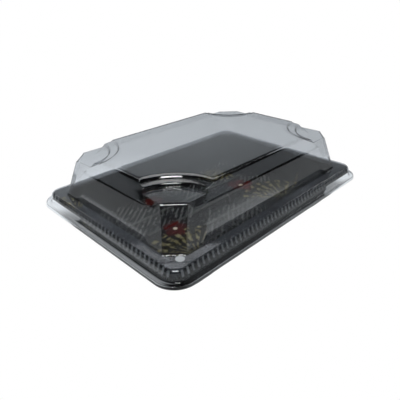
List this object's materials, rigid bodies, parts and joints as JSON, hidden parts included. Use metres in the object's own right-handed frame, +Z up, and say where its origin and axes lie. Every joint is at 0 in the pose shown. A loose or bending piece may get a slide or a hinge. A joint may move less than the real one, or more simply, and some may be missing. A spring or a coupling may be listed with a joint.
{
  "type": "takeaway sushi tray",
  "caption": "Shallow black takeaway sushi tray with a ribbed rim and a printed floor, closed by a clear clip-on lid with chamfered, stepped corners.",
  "frame": {"origin": "centre of the closed pack's box, on the surface that its feet stand on", "axes": "+X along the tray's length, +Y along its width, +Z up through the lid"},
  "size_m": [0.2396, 0.1736, 0.0686],
  "materials": {
    "tray_plastic": null,
    "lid_plastic": "clear formed sheet with a faint grey tint and sharp highlights"
  },
  "bodies": {
    "root": {"tray": "tray_plastic", "lid": "lid_plastic"}
  },
  "joints": []
}
